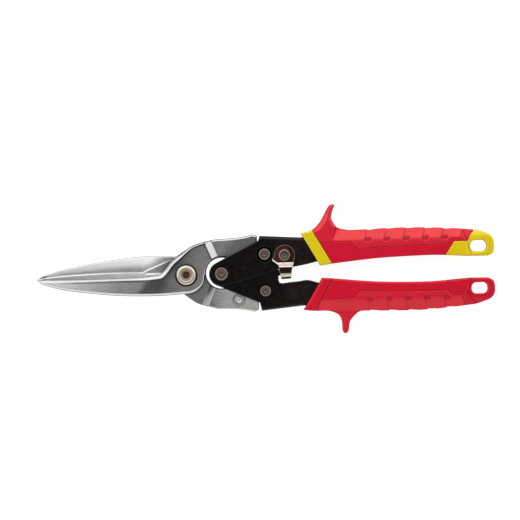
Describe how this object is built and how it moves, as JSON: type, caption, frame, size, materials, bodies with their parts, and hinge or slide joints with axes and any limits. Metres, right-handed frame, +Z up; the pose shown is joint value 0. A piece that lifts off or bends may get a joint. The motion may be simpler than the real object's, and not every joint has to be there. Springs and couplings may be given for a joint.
{
  "type": "aviation snips",
  "caption": "Compound-leverage sheet-metal snips with long straight jaws, channel handles, thumb latch, opening spring and moulded grips with hanging holes.",
  "frame": {"origin": "on the main pivot's axis, at the end face of the pivot bolt, on the surface that the snips lie on", "axes": "+X along the tool from the jaws to the handles, +Z up along every pivot axis, +Y towards the upper handle"},
  "size_m": [0.3111, 0.0873, 0.0203],
  "materials": {
    "blade_steel": "satin ground tool steel with polished edges",
    "nickel": "bright nickel plate",
    "rivet_steel": "pressed steel",
    "spring_steel": "drawn wire",
    "black_steel": "black satin coating",
    "yellow_plastic": "moulded, satin",
    "red_plastic": "moulded, satin",
    "red_rubber": "soft overmould, fine grain"
  },
  "bodies": {
    "lower_handle": {"lower_channel": "black_steel", "lower_collar": "red_plastic", "lower_grip_core": "red_plastic", "lower_grip_shell": "red_rubber", "lower_loop": "red_plastic", "handle_bushing": "rivet_steel", "lower_link_rivet": "rivet_steel"},
    "upper_handle": {"upper_channel": "black_steel", "upper_collar": "yellow_plastic", "upper_grip_core": "red_plastic", "upper_grip_shell": "red_rubber", "upper_loop": "yellow_plastic", "handle_rivet": "rivet_steel", "upper_link_rivet": "rivet_steel", "latch_rivet": "rivet_steel", "torsion_spring": "spring_steel"},
    "front_blade": {"front_blade": "blade_steel", "pivot_bolt": "nickel", "pivot_nut": "rivet_steel", "head_washer": "black_steel", "nut_washer": "black_steel"},
    "rear_blade": {"rear_blade": "blade_steel"},
    "latch": {"latch_plate": "nickel"}
  },
  "joints": [
    {"name": "handle_pivot", "type": "hinge", "parent": "lower_handle", "child": "upper_handle", "pos_m": [0.0239, 0, 0.01], "axis": [0, 0, 1], "range_deg": [0, 26], "stiffness_Nm_per_rad": 0.76, "springref_deg": 60.16, "deforming": ["torsion_spring"]},
    {"name": "upper_link", "type": "hinge", "parent": "upper_handle", "child": "front_blade", "pos_m": [0.0535, 0.0125, 0.01], "axis": [0, 0, 1], "range_deg": [-6.2, 0]},
    {"name": "lower_link", "type": "hinge", "parent": "lower_handle", "child": "rear_blade", "pos_m": [0.0535, -0.0125, 0.01], "axis": [0, 0, 1], "range_deg": [0, 6.2]},
    {"name": "latch_swing", "type": "hinge", "parent": "upper_handle", "child": "latch", "pos_m": [0.067, 0.0115, 0.018], "axis": [0, 0, 1], "range_deg": [-5.5, 20]}
  ],
  "couplings": [
    {"joint": "upper_link", "follows": "handle_pivot", "ratio": -0.2344},
    {"joint": "lower_link", "follows": "handle_pivot", "ratio": 0.2344}
  ]
}
